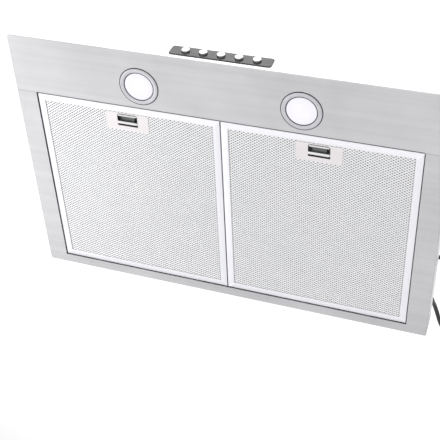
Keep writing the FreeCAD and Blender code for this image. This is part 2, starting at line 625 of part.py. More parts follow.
def bent_path(points):
    """Straight runs joined by tangent arcs, each as large as its two runs allow."""
    edges, start, radii = [], points[0], []
    for before, corner, after in zip(points, points[1:], points[2:]):
        back, on = (before - corner), (after - corner)
        shorter = min(back.Length, on.Length)
        back.normalize()
        on.normalize()
        turn = math.pi - back.getAngle(on)
        reach = 0.45 * shorter
        radius = reach / math.tan(turn / 2)
        radii.append(round(radius, 1))
        inward = (back + on).normalize()
        middle = corner + inward * (math.hypot(radius, reach) - radius)
        edges.append(Part.LineSegment(start, corner + back * reach).toShape())
        edges.append(Part.Arc(corner + back * reach, middle, corner + on * reach).toShape())
        start = corner + on * reach
    edges.append(Part.LineSegment(start, points[-1]).toShape())
    print("lead radii, mm:", radii)
    return Part.Wire(edges)


def make_cord():
    route = CORD_ROUTE + [COIL_START]
    path = bent_path(route)
    first = (route[1] - route[0]).normalize()
    section = Part.Wire(Part.Circle(route[0], first, CORD_D / 2).toShape())
    cord = path.makePipeShell([section], True, False)
    length = sum(edge.Length for edge in path.Edges)
    plain = math.pi * (CORD_D / 2) ** 2 * length
    print("lead length", round(length, 1), "volume ratio", round(cord.Volume / plain, 4))
    nodes["power_cord"] = cord

    coil_low = COIL_LIFT
    coil_high = COIL_END.z + CORD_D / 2
    inner, outer = COIL_MID_R - CORD_D - 0.3, COIL_MID_R + CORD_D + 0.3
    coil = ring(COIL_AT + V(0, 0, coil_low), V(0, 0, 1), outer, inner, coil_high - coil_low)
    coil = coil.makeFillet(3.5, [e for e in coil.Edges if e.BoundBox.ZLength < 0.01])
    tail = rod(COIL_END + V(0, -20, 0), V(0, -1, 0), CORD_D / 2, 46)
    nodes["cord_coil"] = joined([coil, tail])

    tie_at = COIL_AT + V(COIL_MID_R, 0, 0)
    half_x, half_y = CORD_D + 0.4, 3.0
    band = block(-half_x - TIE_THICK, half_x + TIE_THICK, -half_y, half_y, 0.1, coil_high + TIE_THICK + 0.1)
    band = rounded(band, 2.5, lambda m, t: abs(t.y) > 0.9)
    band = band.cut(block(-half_x, half_x, -half_y - PASS, half_y + PASS, coil_low - 0.1, coil_high + 0.1))
    nodes["cord_tie"] = band.translated(tie_at)

    plug_len = 32.0
    body = block(-13, 13, -plug_len, 0, -11.6, 11.6)
    body = rounded(body, 5.0, lambda m, t: abs(t.y) > 0.9)
    tail = Part.makeCone(8.5, 5.6, 16.0, V(0, -0.5, 0), V(0, 1, 0))
    pins = [rod(V(0, -plug_len + 1, -5.5), V(0, -1, 0), 2.35, 21)]
    for x in (-6.35, 6.35):
        pins.append(block(x - 0.75, x + 0.75, -plug_len - 18, -plug_len + 1, 1.0, 7.2))
    plug = joined([body, tail] + pins)
    nodes["power_plug"] = plug.translated(PLUG_AT)


def make_relief():
    """Right-angle strain relief: a bush through the housing's side and a tapered sleeve."""
    out = V(1, 0, 0)
    sleeve = Part.makeCone(RELIEF_HOLE_R - 0.8, CORD_D / 2 + 1.6, SLEEVE_LENGTH, SLEEVE_START, SLEEVE_ALONG)
    bush = rod(RELIEF_AT - out * 4, out, RELIEF_HOLE_R - 0.1, SLEEVE_START.x - RELIEF_AT.x + 4)
    flange = rod(RELIEF_AT + out * 0.05, out, 10.5, 2.2)
    nodes["strain_relief"] = joined([bush, flange, sleeve, Part.makeSphere(RELIEF_HOLE_R - 0.8, SLEEVE_START)])


make_blower()
make_wheel()
make_canopy()
make_damper()
make_filter("left", -1)
make_filter("right", 1)
make_lamps()
make_controls()
make_electrics()
make_cord()
make_relief()

for name, shape in nodes.items():
    if not shape.isValid():
        print("not valid:", name)
    shape.exportStep(f"parts/{name}.step")
print(len(nodes), "nodes")
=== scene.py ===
import math

import bmesh
import bpy
import numpy as np
from mathutils import Matrix, Vector


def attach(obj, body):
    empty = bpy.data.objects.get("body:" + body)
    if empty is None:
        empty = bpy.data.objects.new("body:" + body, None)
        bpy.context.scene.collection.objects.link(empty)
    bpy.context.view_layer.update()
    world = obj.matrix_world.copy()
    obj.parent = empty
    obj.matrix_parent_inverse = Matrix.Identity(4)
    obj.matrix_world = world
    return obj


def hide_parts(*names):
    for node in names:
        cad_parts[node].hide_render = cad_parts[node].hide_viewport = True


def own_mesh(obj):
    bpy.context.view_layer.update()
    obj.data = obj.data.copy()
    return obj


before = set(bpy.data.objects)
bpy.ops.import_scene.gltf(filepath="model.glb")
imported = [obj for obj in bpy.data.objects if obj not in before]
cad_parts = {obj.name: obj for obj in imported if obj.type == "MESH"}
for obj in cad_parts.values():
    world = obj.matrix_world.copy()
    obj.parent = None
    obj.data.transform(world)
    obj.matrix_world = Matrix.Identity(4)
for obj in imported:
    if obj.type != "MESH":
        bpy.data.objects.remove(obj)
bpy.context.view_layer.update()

scene = bpy.context.scene
MM = 0.001
FLOOR_Z = -1.6
UNDERSIDE = -130


# ---- View, floor and lights --------------------------------------------------------------
# The hood hangs above head height and is seen from below its front right corner, the wall
# behind it. A pale floor far below and large soft lights give the sheet metal its plain greys.

lens_data = bpy.data.cameras.new("camera")
lens_data.lens = 77.7
lens_data.sensor_width = 36.0
lens_data.clip_end = 60.0
camera = bpy.data.objects.new("camera", lens_data)
scene.collection.objects.link(camera)
ahead = Vector((-0.2799, 0.6309, 0.7236)).normalized()
across = ahead.cross(Vector((-0.1776, -0.7748, 0.6068))).normalized()
upward = across.cross(ahead)
camera.matrix_world = Matrix.Translation((0.4657, -0.9991, -1.3545)) @ Matrix(
    (across, upward, -ahead)
).transposed().to_4x4()
scene.camera = camera
scene.view_settings.view_transform = "Standard"

world = bpy.data.worlds.new("pale_room")
world.use_nodes = True
sky = world.node_tree.nodes["Background"]
sky.inputs["Strength"].default_value = 1.13
direction = world.node_tree.nodes.new("ShaderNodeTexCoord")
height = world.node_tree.nodes.new("ShaderNodeSeparateXYZ")
band = world.node_tree.nodes.new("ShaderNodeValToRGB")
band.color_ramp.elements[0].position = 0.0
band.color_ramp.elements[0].color = (0.55, 0.55, 0.57, 1)
band.color_ramp.elements[1].position = 0.54
band.color_ramp.elements[1].color = (1.0, 1.0, 1.0, 1)
band.color_ramp.elements.new(0.40).color = (0.62, 0.62, 0.63, 1)
world.node_tree.links.new(direction.outputs["Generated"], height.inputs["Vector"])
world.node_tree.links.new(height.outputs["Z"], band.inputs["Fac"])
world.node_tree.links.new(band.outputs["Color"], sky.inputs["Color"])
scene.world = world


def soft_light(name, at, aim, size, watts):
    """A square area light of that size in metres at a point, turned towards another."""
    data = bpy.data.lights.new(name, "AREA")
    data.size = size
    data.energy = watts
    light = bpy.data.objects.new(name, data)
    light.location = at
    light.visible_camera = False
    light.rotation_euler = (Vector(aim) - Vector(at)).to_track_quat("-Z", "Y").to_euler()
    scene.collection.objects.link(light)


soft_light("soft_over_floor", (-0.8, -2.2, 1.2), (-1.0, 0.3, -1.6), 2.2, 30)
soft_light("soft_from_floor", (-1.3, 0.7, -1.5), (0.0, 0.0, -0.1), 1.5, 3.5)
soft_light("soft_left", (-2.4, -0.4, -0.9), (0.0, 0.0, -0.1), 1.4, 14)


def shader(name, roughness, metallic=0.0):
    """A new material; returns it, a function that adds a wired node, and its main shader's inputs."""
    material = bpy.data.materials.new(name)
    material.use_nodes = True
    tree = material.node_tree
    main = tree.nodes["Principled BSDF"]
    main.inputs["Roughness"].default_value = roughness
    main.inputs["Metallic"].default_value = metallic

    def add(kind, settings=(), **inputs):
        made = tree.nodes.new("ShaderNode" + kind)
        for key, value in dict(settings).items():
            setattr(made, key, value)
        wire(made.inputs, inputs)
        return made.outputs

    def wire(sockets, inputs):
        for key, value in inputs.items():
            socket = sockets[int(key[1:])] if key[1:].isdigit() else sockets[key.replace("_", " ")]
            if isinstance(value, bpy.types.NodeSocket):
                tree.links.new(value, socket)
            else:
                socket.default_value = value

    def finish(**inputs):
        wire(main.inputs, inputs)
        return material

    return add, finish


def stretched(add, x, y, z, detail=3.0):
    """Noise on Object coordinates, whose grains are 1/x, 1/y and 1/z metres long."""
    place = add("TexCoord")["Object"]
    scaled = add("Mapping", Vector=place, Scale=(x, y, z))["Vector"]
    return add("TexNoise", Vector=scaled, Scale=1.0, Detail=detail, Roughness=0.6)["Fac"]


def ranged(add, value, low, high):
    """Maps 0.3 to 0.7, the usual reach of noise, to low to high."""
    return add("MapRange", i0=value, i1=0.3, i2=0.7, i3=low, i4=high)["Result"]


def tinted(add, value, dark, light):
    """A colour between two, by a value from 0 to 1."""
    ramp = add("Mix", {"data_type": "RGBA"}, i0=value, i6=(*dark, 1), i7=(*light, 1))
    return ramp[2]


def bumped(add, value, strength, distance):
    return add("Bump", Height=value, Strength=strength, Distance=distance)["Normal"]


def floor_finish():
    add, finish = shader("pale_floor", 0.7)
    grain = stretched(add, 1.5, 1.5, 1.5)
    return finish(Base_Color=tinted(add, grain, (0.80, 0.80, 0.80), (0.84, 0.84, 0.84)))


floor_mesh = bpy.data.meshes.new("floor")
floor_corners = [(x, y, FLOOR_Z) for x, y in ((-9, -9), (9, -9), (9, 9), (-9, 9))]
floor_mesh.from_pydata(floor_corners, [], [(0, 1, 2, 3)])
floor_mesh.materials.append(floor_finish())
floor = bpy.data.objects.new("floor", floor_mesh)
scene.collection.objects.link(floor)


# ---- Mains lead --------------------------------------------------------------------------
# A round black PVC lead, 8 mm across and 1.5 m long, leaves the housing's right side, hangs in
# a loop at the back corner and comes over the top, where the rest is wound up and tied.

LEAD_D = 0.008
LEAD_ROUTE = [
    (369.5, 242, -43), (372.5, 254.5, -34), (376, 268, -29), (381.5, 284, -28.5), (390, 303, -35),
    (404, 321, -41), (421, 333, -43.5), (446, 337, -43.5), (471, 327, -40), (488, 303, -34),
    (491, 272, -24), (482, 241, -12), (462, 214, -2), (434, 197, 5), (403, 186, 9.5),
    (370, 180, 9.5), (334, 175, 5.6), (296, 179, 5.4), (256, 184, 5.4),
]
COIL_MIDDLE = (215, 136)
COIL_TURNS = 3.25
POINTS_PER_TURN = 16


def coil_points():
    """Turns about a vertical axis: a lower outer one, a lower inner one, an upper inner one and
    an upper outer one, with the radius and the height eased from each to the next."""
    turn = np.arange(0, COIL_TURNS + 0.5 / POINTS_PER_TURN, 1 / POINTS_PER_TURN)
    radius = np.interp(turn, [0, 0.80, 0.98, 2.42, 2.60, 4], [48.4, 48.4, 40.2, 40.2, 48.4, 48.4])
    height = np.interp(turn, [0, 1.62, 1.80, 2.0, 4], [5.4, 5.4, 13.7, 13.5, 13.5])
    angle = 2 * np.pi * (turn + 0.25)
    return np.column_stack([
        COIL_MIDDLE[0] + radius * np.cos(angle),
        COIL_MIDDLE[1] + radius * np.sin(angle),
        height,
    ])


def lead_finish():
    add, finish = shader("black_pvc", 0.38)
    grain = stretched(add, 900, 900, 900)
    dust = stretched(add, 60, 60, 60)
    return finish(
        Base_Color=tinted(add, dust, (0.012, 0.014, 0.013), (0.030, 0.034, 0.032)),
        Roughness=ranged(add, dust, 0.30, 0.46),
        Normal=bumped(add, grain, 0.15, 0.0004),
    )


tail = [(COIL_MIDDLE[0] - 48, COIL_MIDDLE[1] - y, 13.5) for y in (18, 36, 54, 66)]
line = np.vstack([LEAD_ROUTE, coil_points(), tail]) * MM
lead_curve = bpy.data.curves.new("mains_lead", "CURVE")
lead_curve.dimensions = "3D"
lead_curve.bevel_depth = LEAD_D / 2
lead_curve.bevel_resolution = 3
lead_curve.resolution_u = 6
lead_curve.use_fill_caps = True
spline = lead_curve.splines.new("NURBS")
spline.points.add(len(line) - 1)
spline.points.foreach_set("co", np.column_stack([line, np.ones(len(line))]).ravel())
spline.order_u = 3
spline.use_endpoint_u = True
lead_curve.materials.append(lead_finish())
lead = bpy.data.objects.new("mains_lead", lead_curve)
scene.collection.objects.link(lead)
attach(lead, "hood")
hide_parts("power_cord", "cord_coil")


def coat(finish, *names):
    """Gives CAD nodes, which stay as they are, their finish."""
    for name in names:
        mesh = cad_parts[name].data
        mesh.materials.clear()
        mesh.materials.append(finish)


def moulded(name, dark, light, low, high, grain_size=1500, depth=0.00025):
    """Moulded plastic: fine spark-eroded grain, with faint cloudy wear in colour and gloss."""
    add, finish = shader(name, low)
    cloud = stretched(add, 45, 45, 45)
    grain = stretched(add, grain_size, grain_size, grain_size, 2.0)
    return finish(
        Base_Color=tinted(add, cloud, dark, light),
        Roughness=ranged(add, cloud, low, high),
        Normal=bumped(add, grain, 0.35, depth),
    )


plug_plastic = moulded("plug_plastic", (0.014, 0.015, 0.015), (0.030, 0.031, 0.031), 0.42, 0.60)
coat(plug_plastic, "power_plug")
coat(moulded("tie_plastic", (0.02, 0.02, 0.02), (0.045, 0.045, 0.045), 0.35, 0.5), "cord_tie")


# ---- Strain relief -----------------------------------------------------------------------
# A soft black bush pressed into the housing's side. Its sleeve turns back along the wall and
# tapers round the lead, with grooves that let it bend.

SLEEVE = 26.0


def frame_along(direction):
    """Two unit vectors square to a direction, and the direction."""
    third = np.array(direction, float) / np.linalg.norm(direction)
    first = np.cross(third, (0.0, 0.0, 1.0) if abs(third[2]) < 0.9 else (1.0, 0.0, 0.0))
    first /= np.linalg.norm(first)
    return first, np.cross(third, first), third


def lathe(at, direction, radius, height, sides=48):
    """Points on a turned surface: row i is a circle of radius[i], height[i] along the axis."""
    first, second, third = frame_along(direction)
    angle = np.linspace(0, 2 * np.pi, sides, endpoint=False)
    spoke = np.cos(angle)[:, None] * first + np.sin(angle)[:, None] * second
    radius, height = np.array(radius, float), np.array(height, float)
    return np.array(at, float) + radius[:, None, None] * spoke + height[:, None, None] * third


def grid_faces(rows, columns, wrap_rows, wrap_columns, ends=False):
    """Quads between neighbours on a grid of vertices, and a cap on the first and last row."""
    index = np.arange(rows * columns).reshape(rows, columns)
    if wrap_rows:
        index = np.vstack([index, index[:1]])
    if wrap_columns:
        index = np.hstack([index, index[:, :1]])
    quads = np.stack([index[:-1, :-1], index[1:, :-1], index[1:, 1:], index[:-1, 1:]], -1)
    faces = quads.reshape(-1, 4).tolist()
    if ends:
        faces += [index[0, :columns].tolist(), index[-1, :columns][::-1].tolist()]
    return faces


def piece(name, grids, material, body, replaced=(), smooth=32.0, weld=0.0):
    """One object from (points, wrap rows, wrap columns, ends) grids in millimetres, normals out."""
    made = bmesh.new()
    for points, wrap_rows, wrap_columns, ends in grids:
        rows, columns = points.shape[:2]
        vertices = [made.verts.new(p) for p in (points.reshape(-1, 3) * MM).tolist()]
        for face in grid_faces(rows, columns, wrap_rows, wrap_columns, ends):
            made.faces.new([vertices[i] for i in face])
    if weld:
        bmesh.ops.remove_doubles(made, verts=made.verts, dist=weld * MM)
    bmesh.ops.recalc_face_normals(made, faces=made.faces)
    mesh = bpy.data.meshes.new(name)
    made.to_mesh(mesh)
    made.free()
    mesh.shade_smooth()
    mesh.set_sharp_from_angle(angle=math.radians(smooth))
    mesh.materials.append(material)
    obj = bpy.data.objects.new(name, mesh)
    scene.collection.objects.link(obj)
    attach(obj, body)
    if replaced:
        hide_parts(*replaced)
    return obj


relief_along = np.subtract(LEAD_ROUTE[1], LEAD_ROUTE[0])
relief_along = relief_along / np.linalg.norm(relief_along)
relief_start = np.array(LEAD_ROUTE[0]) - relief_along * SLEEVE
along_sleeve = np.linspace(0, SLEEVE, 53)
taper = 7.2 + (5.6 - 7.2) * along_sleeve / SLEEVE
groove = 0.55 * (np.sin(along_sleeve * 2 * np.pi / 4.0) > 0.2) * (along_sleeve > 5) * (along_sleeve < 23)
sleeve_radius = np.concatenate([[0.01, 2.8, 5.2, 6.7], taper - groove, [5.0, 4.05, 4.05]])
sleeve_end = [SLEEVE, SLEEVE - 0.4, SLEEVE - 6]
sleeve_height = np.concatenate([[-7.2, -6.6, -4.9, -2.6], along_sleeve, sleeve_end])
bush_at = (358.65, relief_start[1], relief_start[2])
bush_radius = [0.01, 7.7, 7.7, 9.9, 10.5, 10.5, 9.9, 7.9, 7.2, 0.01]
bush_height = [-4, -4, 0.1, 0.1, 0.5, 1.7, 2.25, 2.25, 5.5, 5.5]
piece(
    "strain_relief_sleeve",
    [
        (lathe(relief_start, relief_along, sleeve_radius, sleeve_height), False, True, True),
        (lathe(bush_at, (1, 0, 0), bush_radius, bush_height), False, True, True),
    ],
    plug_plastic,
    "hood",
    ["strain_relief"],
)


# ---- Casing ------------------------------------------------------------------------------
# Four panels of 1 mm stainless sheet: the housing, the tray round the filters, the front panel
# with its fascia, and the cover of the rear outlet. All are brushed along X and screwed.


def brushed(name, dark, light, low, high, grain):
    """Brushed sheet: long fine scratches along one axis in gloss and bump, broader streaks in
    colour, and soft handling marks. grain is the scratches' scale on X, Y and Z."""
    add, finish = shader(name, low, 1.0)
    scratch = stretched(add, *grain, 4.0)
    streak = stretched(add, *[g / 6 for g in grain], 2.0)
    hand = stretched(add, 7, 7, 7, 3.0)
    mixed = add("Math", {"operation": "MULTIPLY_ADD"}, i0=streak, i1=0.6, i2=-0.3)["Value"]
    tone = add("Math", {"operation": "ADD"}, i0=hand, i1=mixed)["Value"]
    worn = add("Math", {"operation": "MULTIPLY_ADD"}, i0=scratch, i1=0.5, i2=0.0)["Value"]
    gloss = add("Math", {"operation": "MULTIPLY_ADD"}, i0=hand, i1=0.5, i2=worn)["Value"]
    return finish(
        Base_Color=tinted(add, tone, dark, light),
        Roughness=ranged(add, gloss, low, high),
        Normal=bumped(add, scratch, 0.12, 0.00012),
    )


ALONG_X = (5, 420, 420)
stainless = brushed("brushed_stainless", (0.52, 0.52, 0.53), (0.72, 0.72, 0.735), 0.30, 0.44, ALONG_X)
coat(stainless, "housing_shell", "canopy_tray", "front_panel", "rear_outlet_cover")


# ---- Screws ------------------------------------------------------------------------------
# Zinc-plated pan-head screws with a cross recess hold the casing, the covers, the collar and
# the blower. Each shows its head; the shank is in the sheet.


def zinc_finish():
    add, finish = shader("bright_zinc", 0.3, 1.0)
    cloud = stretched(add, 500, 500, 500)
    return finish(
        Base_Color=tinted(add, cloud, (0.42, 0.43, 0.44), (0.68, 0.68, 0.66)),
        Roughness=ranged(add, cloud, 0.22, 0.42),
        Normal=bumped(add, cloud, 0.2, 0.0001),
    )


def screw_heads(places, normal, radius, height):
    """Pan heads on a polar grid: the dome falls off with the square of the radius, and a
    four-armed cross of the recess is sunk where a spoke lies on an arm."""
    rings = np.array([1.0, 1.0, 0.94, 0.78, 0.56, 0.50, 0.28, 0.16, 0.01])
    rise = np.array([-0.02, 0.35, 0.72, 0.93, 1.0, 1.0, 1.0, 1.0, 1.0])
    arm = np.arange(24) % 6 == 0
    first, second, third = frame_along(normal)
    angle = np.linspace(0, 2 * np.pi, 24, endpoint=False)
    sunk = (rings[:, None] < 0.53) & (arm[None, :] | (rings[:, None] < 0.2))
    depth = rise[:, None] - 0.62 * sunk
    spoke = np.cos(angle)[:, None] * first + np.sin(angle)[:, None] * second
    head = radius * rings[:, None, None] * spoke + height * depth[:, :, None] * third
    return [(np.array(at, float) + head, False, True, True) for at in places]


zinc = zinc_finish()
shoulder = [(x, y, -84) for x in (-366, 366) for y in (-215, -60, 80, 215)]
shoulder += [(-230, -243, -84), (230, -243, -84)]
outlet = [(x, 250, z) for x in (-130, 130) for z in (-74, -12)]
round_collar = [(82 * math.cos(a), 165 + 82 * math.sin(a), 1) for a in (0.6, 2.2, 3.9, 5.3)]
heads = screw_heads(shoulder, (0, 0, 1), 3.6, 2.0)
heads += screw_heads(outlet, (0, 1, 0), 3.2, 1.6) + screw_heads(round_collar, (0, 0, 1), 3.2, 1.6)
piece("casing_screw_heads", heads, zinc, "hood", ["casing_screws"])


# ---- Grease filters ----------------------------------------------------------------------
# Two lift-out filters. A folded satin aluminium channel, mitred at its corners, holds a sheet
# of expanded mesh, a knitted core and a perforated back sheet. Tabs hook on the tray behind.

FILTER_X = 168.5
FILTER_Y = 44.25
FILTER_HALF_X = 167.8
FILTER_HALF_Y = 185.25
FILTER_LOW = -128.4


def satin_aluminium():
    add, finish = shader("satin_aluminium", 0.36, 1.0)
    grain = stretched(add, 260, 260, 260, 3.0)
    cloud = stretched(add, 9, 9, 9, 2.0)
    fine = stretched(add, 1600, 1600, 1600, 2.0)
    mixed = add("Math", {"operation": "MULTIPLY_ADD"}, i0=grain, i1=0.4, i2=-0.2)["Value"]
    tone = add("Math", {"operation": "ADD"}, i0=cloud, i1=mixed)["Value"]
    return finish(
        Base_Color=tinted(add, tone, (0.90, 0.90, 0.95), (0.97, 0.97, 1.0)),
        Roughness=ranged(add, grain, 0.34, 0.46),
        Normal=bumped(add, fine, 0.12, 0.0001),
    )


def filter_frame(side):
    """A channel's section carried round a rectangle. Row by row the sections stand at the four
    corners, each mitre being three sections close together with the middle one sunk."""
    turn = np.radians([0, 30, 60, 90])
    corner_low = np.column_stack([1.6 - 1.6 * np.sin(turn), 1.6 - 1.6 * np.cos(turn)])
    corner_high = np.column_stack([1.2 - 1.2 * np.cos(turn), 8.8 + 1.2 * np.sin(turn)])
    lips = [(12.5, 10), (12.5, 9.1), (1.9, 9.1), (0.9, 8.4), (0.9, 2.0)]
    lips += [(1.9, 0.9), (12.2, 0.9), (12.6, 0.45), (12.2, 0)]
    section = np.vstack([corner_low, corner_high, lips])
    inset, rise = section.T
    rows = []
    for sx, sy, first_run in ((1, 1, (0, 1)), (-1, 1, (1, 0)), (-1, -1, (0, 1)), (1, -1, (1, 0))):
        second_run = (1 - first_run[0], 1 - first_run[1])
        for run, sink in ((first_run, 0.0), (None, 0.45), (second_run, 0.0)):
            shift = (0.0, 0.0) if run is None else (0.55 * run[0], 0.55 * run[1])
            x = sx * (FILTER_HALF_X - inset - shift[0])
            y = sy * (FILTER_HALF_Y - inset - shift[1])
            low = rise + sink * (rise < 0.4)
            rows.append(np.column_stack([side * FILTER_X + x, FILTER_Y + y, FILTER_LOW + low]))
    return np.array(rows)


def expanded_mesh(side):
    """Staggered diamonds, six vertices wide: each cell's outer corners are shared with its
    neighbours, and its hole is a smaller diamond whose upper edge is raised and lower one sunk."""
    pitch_x, pitch_y, hole = 7.4, 5.2, 0.62
    half_x, half_y = FILTER_HALF_X - 10.5, FILTER_HALF_Y - 10.5
    columns, rows = int(half_x * 2 / pitch_x), int(half_y * 4 / pitch_y)
    row, column = np.meshgrid(np.arange(rows), np.arange(columns), indexing="ij")
    x = (column + 0.5 * (row % 2) - columns / 2 + 0.25) * pitch_x
    y = (row - (rows - 1) / 2) * pitch_y / 2
    middle = np.column_stack([x.ravel(), y.ravel(), np.zeros(x.size)])
    over_window = (np.abs(middle[:, 0]) < 22.2) & (np.abs(middle[:, 1] + FILTER_Y + 111.65) < 13.4)
    middle = middle[~over_window]
    reach_x, reach_y = pitch_x / 2, pitch_y / 2
    corner = np.array([(reach_x, 0, 0), (0, reach_y, 0), (-reach_x, 0, 0), (0, -reach_y, 0)])
    tilt = np.array([(0, 0, 0), (0, 0, 0.26), (0, 0, 0), (0, 0, -0.26)])
    thick = np.array([0, 0, 0.34])
    layers = [corner, corner * hole + tilt, corner * hole + tilt + thick, corner + thick]
    cell = np.vstack(layers) + np.array([side * FILTER_X, FILTER_Y, FILTER_LOW + 1.10])
    vertices = (middle[:, None, :] + cell[None]).reshape(-1, 3)
    four = np.arange(4)
    quads = []
    for layer in range(3):
        low, high = layer * 4 + four, layer * 4 + 4 + four
        quads.append(np.column_stack([low, high, np.roll(high, -1), np.roll(low, -1)]))
    faces = (np.vstack(quads)[None] + 16 * np.arange(len(middle))[:, None, None]).reshape(-1, 4)
    mesh = bpy.data.meshes.new("expanded_mesh")
    mesh.from_pydata((vertices * MM).tolist(), [], faces.tolist())
    made = bmesh.new()
    made.from_mesh(mesh)
    bmesh.ops.remove_doubles(made, verts=made.verts, dist=0.00002)
    made.to_mesh(mesh)
    made.free()
    return mesh


def bright_mesh():
    add, finish = shader("bright_expanded_aluminium", 0.28, 1.0)
    cloud = stretched(add, 35, 35, 35)
    fine = stretched(add, 700, 700, 700, 2.0)
    return finish(
        Base_Color=tinted(add, cloud, (0.88, 0.88, 0.90), (0.99, 0.99, 1.0)),
        Roughness=ranged(add, fine, 0.20, 0.40),
        Normal=bumped(add, fine, 0.25, 0.0002),
    )


def knitted_core():
    """Knitted wire: two families of loops as crossed waves, bent by noise, dark between them."""
    add, finish = shader("knitted_aluminium", 0.4, 1.0)
    place = add("TexCoord")["Object"]
    wander = add("TexNoise", Vector=place, Scale=45.0, Detail=2.0)["Color"]
    bent = add("Mix", {"data_type": "VECTOR"}, i0=0.02, i4=place, i5=wander)[1]
    loops = []
    for direction in ("X", "Y"):
        settings = {"wave_type": "BANDS", "bands_direction": direction}
        loops.append(add("TexWave", settings, Vector=bent, Scale=120.0, Distortion=2.0)["Fac"])
    wire = add("Math", {"operation": "MAXIMUM"}, i0=loops[0], i1=loops[1])["Value"]
    return finish(
        Base_Color=tinted(add, wire, (0.06, 0.06, 0.065), (0.34, 0.34, 0.35)),
        Roughness=ranged(add, wire, 0.55, 0.30),
        Normal=bumped(add, wire, 0.8, 0.0008),
    )


def perforated_back():
    """Round holes on a square grid, 3 mm apart: dark where a point is near a cell's middle."""
    add, finish = shader("perforated_aluminium", 0.35, 1.0)
    place = add("TexCoord")["Object"]
    flat = {"voronoi_dimensions": "2D"}
    holes = add("TexVoronoi", flat, Vector=place, Scale=330.0, Randomness=0.0)["Distance"]
    edge = add("MapRange", i0=holes, i1=0.28, i2=0.34, i3=0.0, i4=1.0)["Result"]
    return finish(
        Base_Color=tinted(add, edge, (0.03, 0.03, 0.03), (0.78, 0.78, 0.80)),
        Normal=bumped(add, edge, 0.6, 0.0004),
    )


aluminium = satin_aluminium()
mesh_metal = bright_mesh()
core_metal = knitted_core()
back_metal = perforated_back()
for name, side in (("left", -1), ("right", 1)):
    body = f"filter_{name}"
    channel = [(filter_frame(side), True, True, False)]
    frame_node = f"filter_frame_{name}"
    piece(f"filter_channel_{name}", channel, aluminium, body, [frame_node])
    mesh = expanded_mesh(side)
    mesh.materials.append(mesh_metal)
    face = bpy.data.objects.new(f"filter_mesh_{name}", mesh)
    scene.collection.objects.link(face)
    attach(face, body)
    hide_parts(f"filter_face_mesh_{name}")
    coat(core_metal, f"filter_core_{name}")
    coat(back_metal, f"filter_back_mesh_{name}")
    coat(aluminium, f"filter_hooks_{name}")


# ---- Filter latches ----------------------------------------------------------------------
# Each filter has a pressed plate with a window. A bright curled bar in it is pulled towards
# the wall with a fingertip, which draws a spring steel tongue off its catch.


def chrome_finish():
    add, finish = shader("bright_chrome", 0.12, 1.0)
    smear = stretched(add, 90, 400, 90)
    return finish(
        Base_Color=tinted(add, smear, (0.72, 0.72, 0.73), (0.90, 0.90, 0.91)),
        Roughness=ranged(add, smear, 0.08, 0.22),
    )


def capsule(middle, half_length, half_y, half_z, sides=20):
    """A round-ended bar along X: an ellipse whose size falls off as a quarter circle at each end."""
    turn = np.linspace(0, np.pi / 2, 6)
    reach = half_length - half_y + half_y * np.sin(turn)
    size = np.maximum(np.cos(turn), 0.02)
    x = np.concatenate([-reach[::-1], reach])
    size = np.concatenate([size[::-1], size])
    angle = np.linspace(0, 2 * np.pi, sides, endpoint=False)
    y = half_y * size[:, None] * np.cos(angle)
    z = half_z * size[:, None] * np.sin(angle)
    return (np.stack([x[:, None] + 0 * y, y, z], -1) + np.array(middle, float), False, True, True)


def plank(x0, x1, y0, y1, z0, z1):
    """A flat bar between two values on each axis: two square sections, front and back."""
    section = [(x0, z0), (x1, z0), (x1, z1), (x0, z1)]
    return (np.array([[(x, y, z) for x, z in section] for y in (y0, y1)], float), False, True, True)


pressed_pale, pressed_white = (0.80, 0.757, 0.765), (0.90, 0.857, 0.865)
plate_metal = brushed("latch_plate_metal", pressed_pale, pressed_white, 0.34, 0.46, (30, 500, 500))
# The latch window's case and slide get a dark grey: painted shade of the recess behind the window.
slot_shade_dark, slot_shade_pale = (0.10, 0.11, 0.105), (0.26, 0.27, 0.26)
recess_shade_metal = brushed("latch_recess_shade_metal", slot_shade_dark, slot_shade_pale, 0.45, 0.60, (30, 300, 300))
steel_dark, steel_pale = (0.30, 0.30, 0.30), (0.46, 0.45, 0.44)
spring_steel = brushed("spring_steel", steel_dark, steel_pale, 0.25, 0.40, (200, 900, 200))
chrome = chrome_finish()
for name, side in (("left", -1), ("right", 1)):
    x = side * FILTER_X
    coat(plate_metal, f"latch_plate_{name}")
    # The case takes the dark recess finish, which is painted shade.
    coat(recess_shade_metal, f"latch_case_{name}")
    coat(spring_steel, f"latch_tongue_{name}", f"latch_springs_{name}")
    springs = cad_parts[f"latch_springs_{name}"]
    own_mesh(springs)
    bar = [
        capsule((x, -107.3, -127.7), 18.6, 2.9, 2.5),
        plank(x - 15, x + 15, -106.6, -105.4, -127.5, -124.3),
    ]
    piece(f"latch_bar_{name}", bar, chrome, f"latch_{name}", [f"latch_pull_{name}"])
    # The slide takes the same dark finish, painted shade inside the window.
    slide = [
        plank(x - 12, x + 12, -136, -103.5, -125.1, -124.1),
        plank(x - 12, x + 12, -104.3, -103.5, -124.2, -121.0),
    ]
    piece(f"latch_slide_{name}", slide, recess_shade_metal, f"latch_{name}")
    lip = [capsule((x, -121.6, -128.3), 17.0, 1.5, 1.1)]
    piece(f"latch_lip_{name}", lip, chrome, f"filter_{name}")
    # A thin dark bar in front of the bright lip is a painted shadow line of the gap there.
    shadow_line = [capsule((x, -123.9, -128.0), 16.6, 0.7, 0.4)]
    piece(f"latch_shadow_line_{name}", shadow_line, recess_shade_metal, f"filter_{name}")


# ---- Lamps -------------------------------------------------------------------------------
# Two round LED lamps in the front panel. A turned satin ring stands 1.3 mm proud round a
# frosted lens with fine rings; a white pressed can, a board and two spring clips are above.
# A thin black strip along the panel's rear edge, where it meets the filters, is painted shadow of the
# gap there.

LAMP_AT = ((-139, -185.5), (139, -185.5))
LAMP_SIDES = 96
UP = (0, 0, 1)


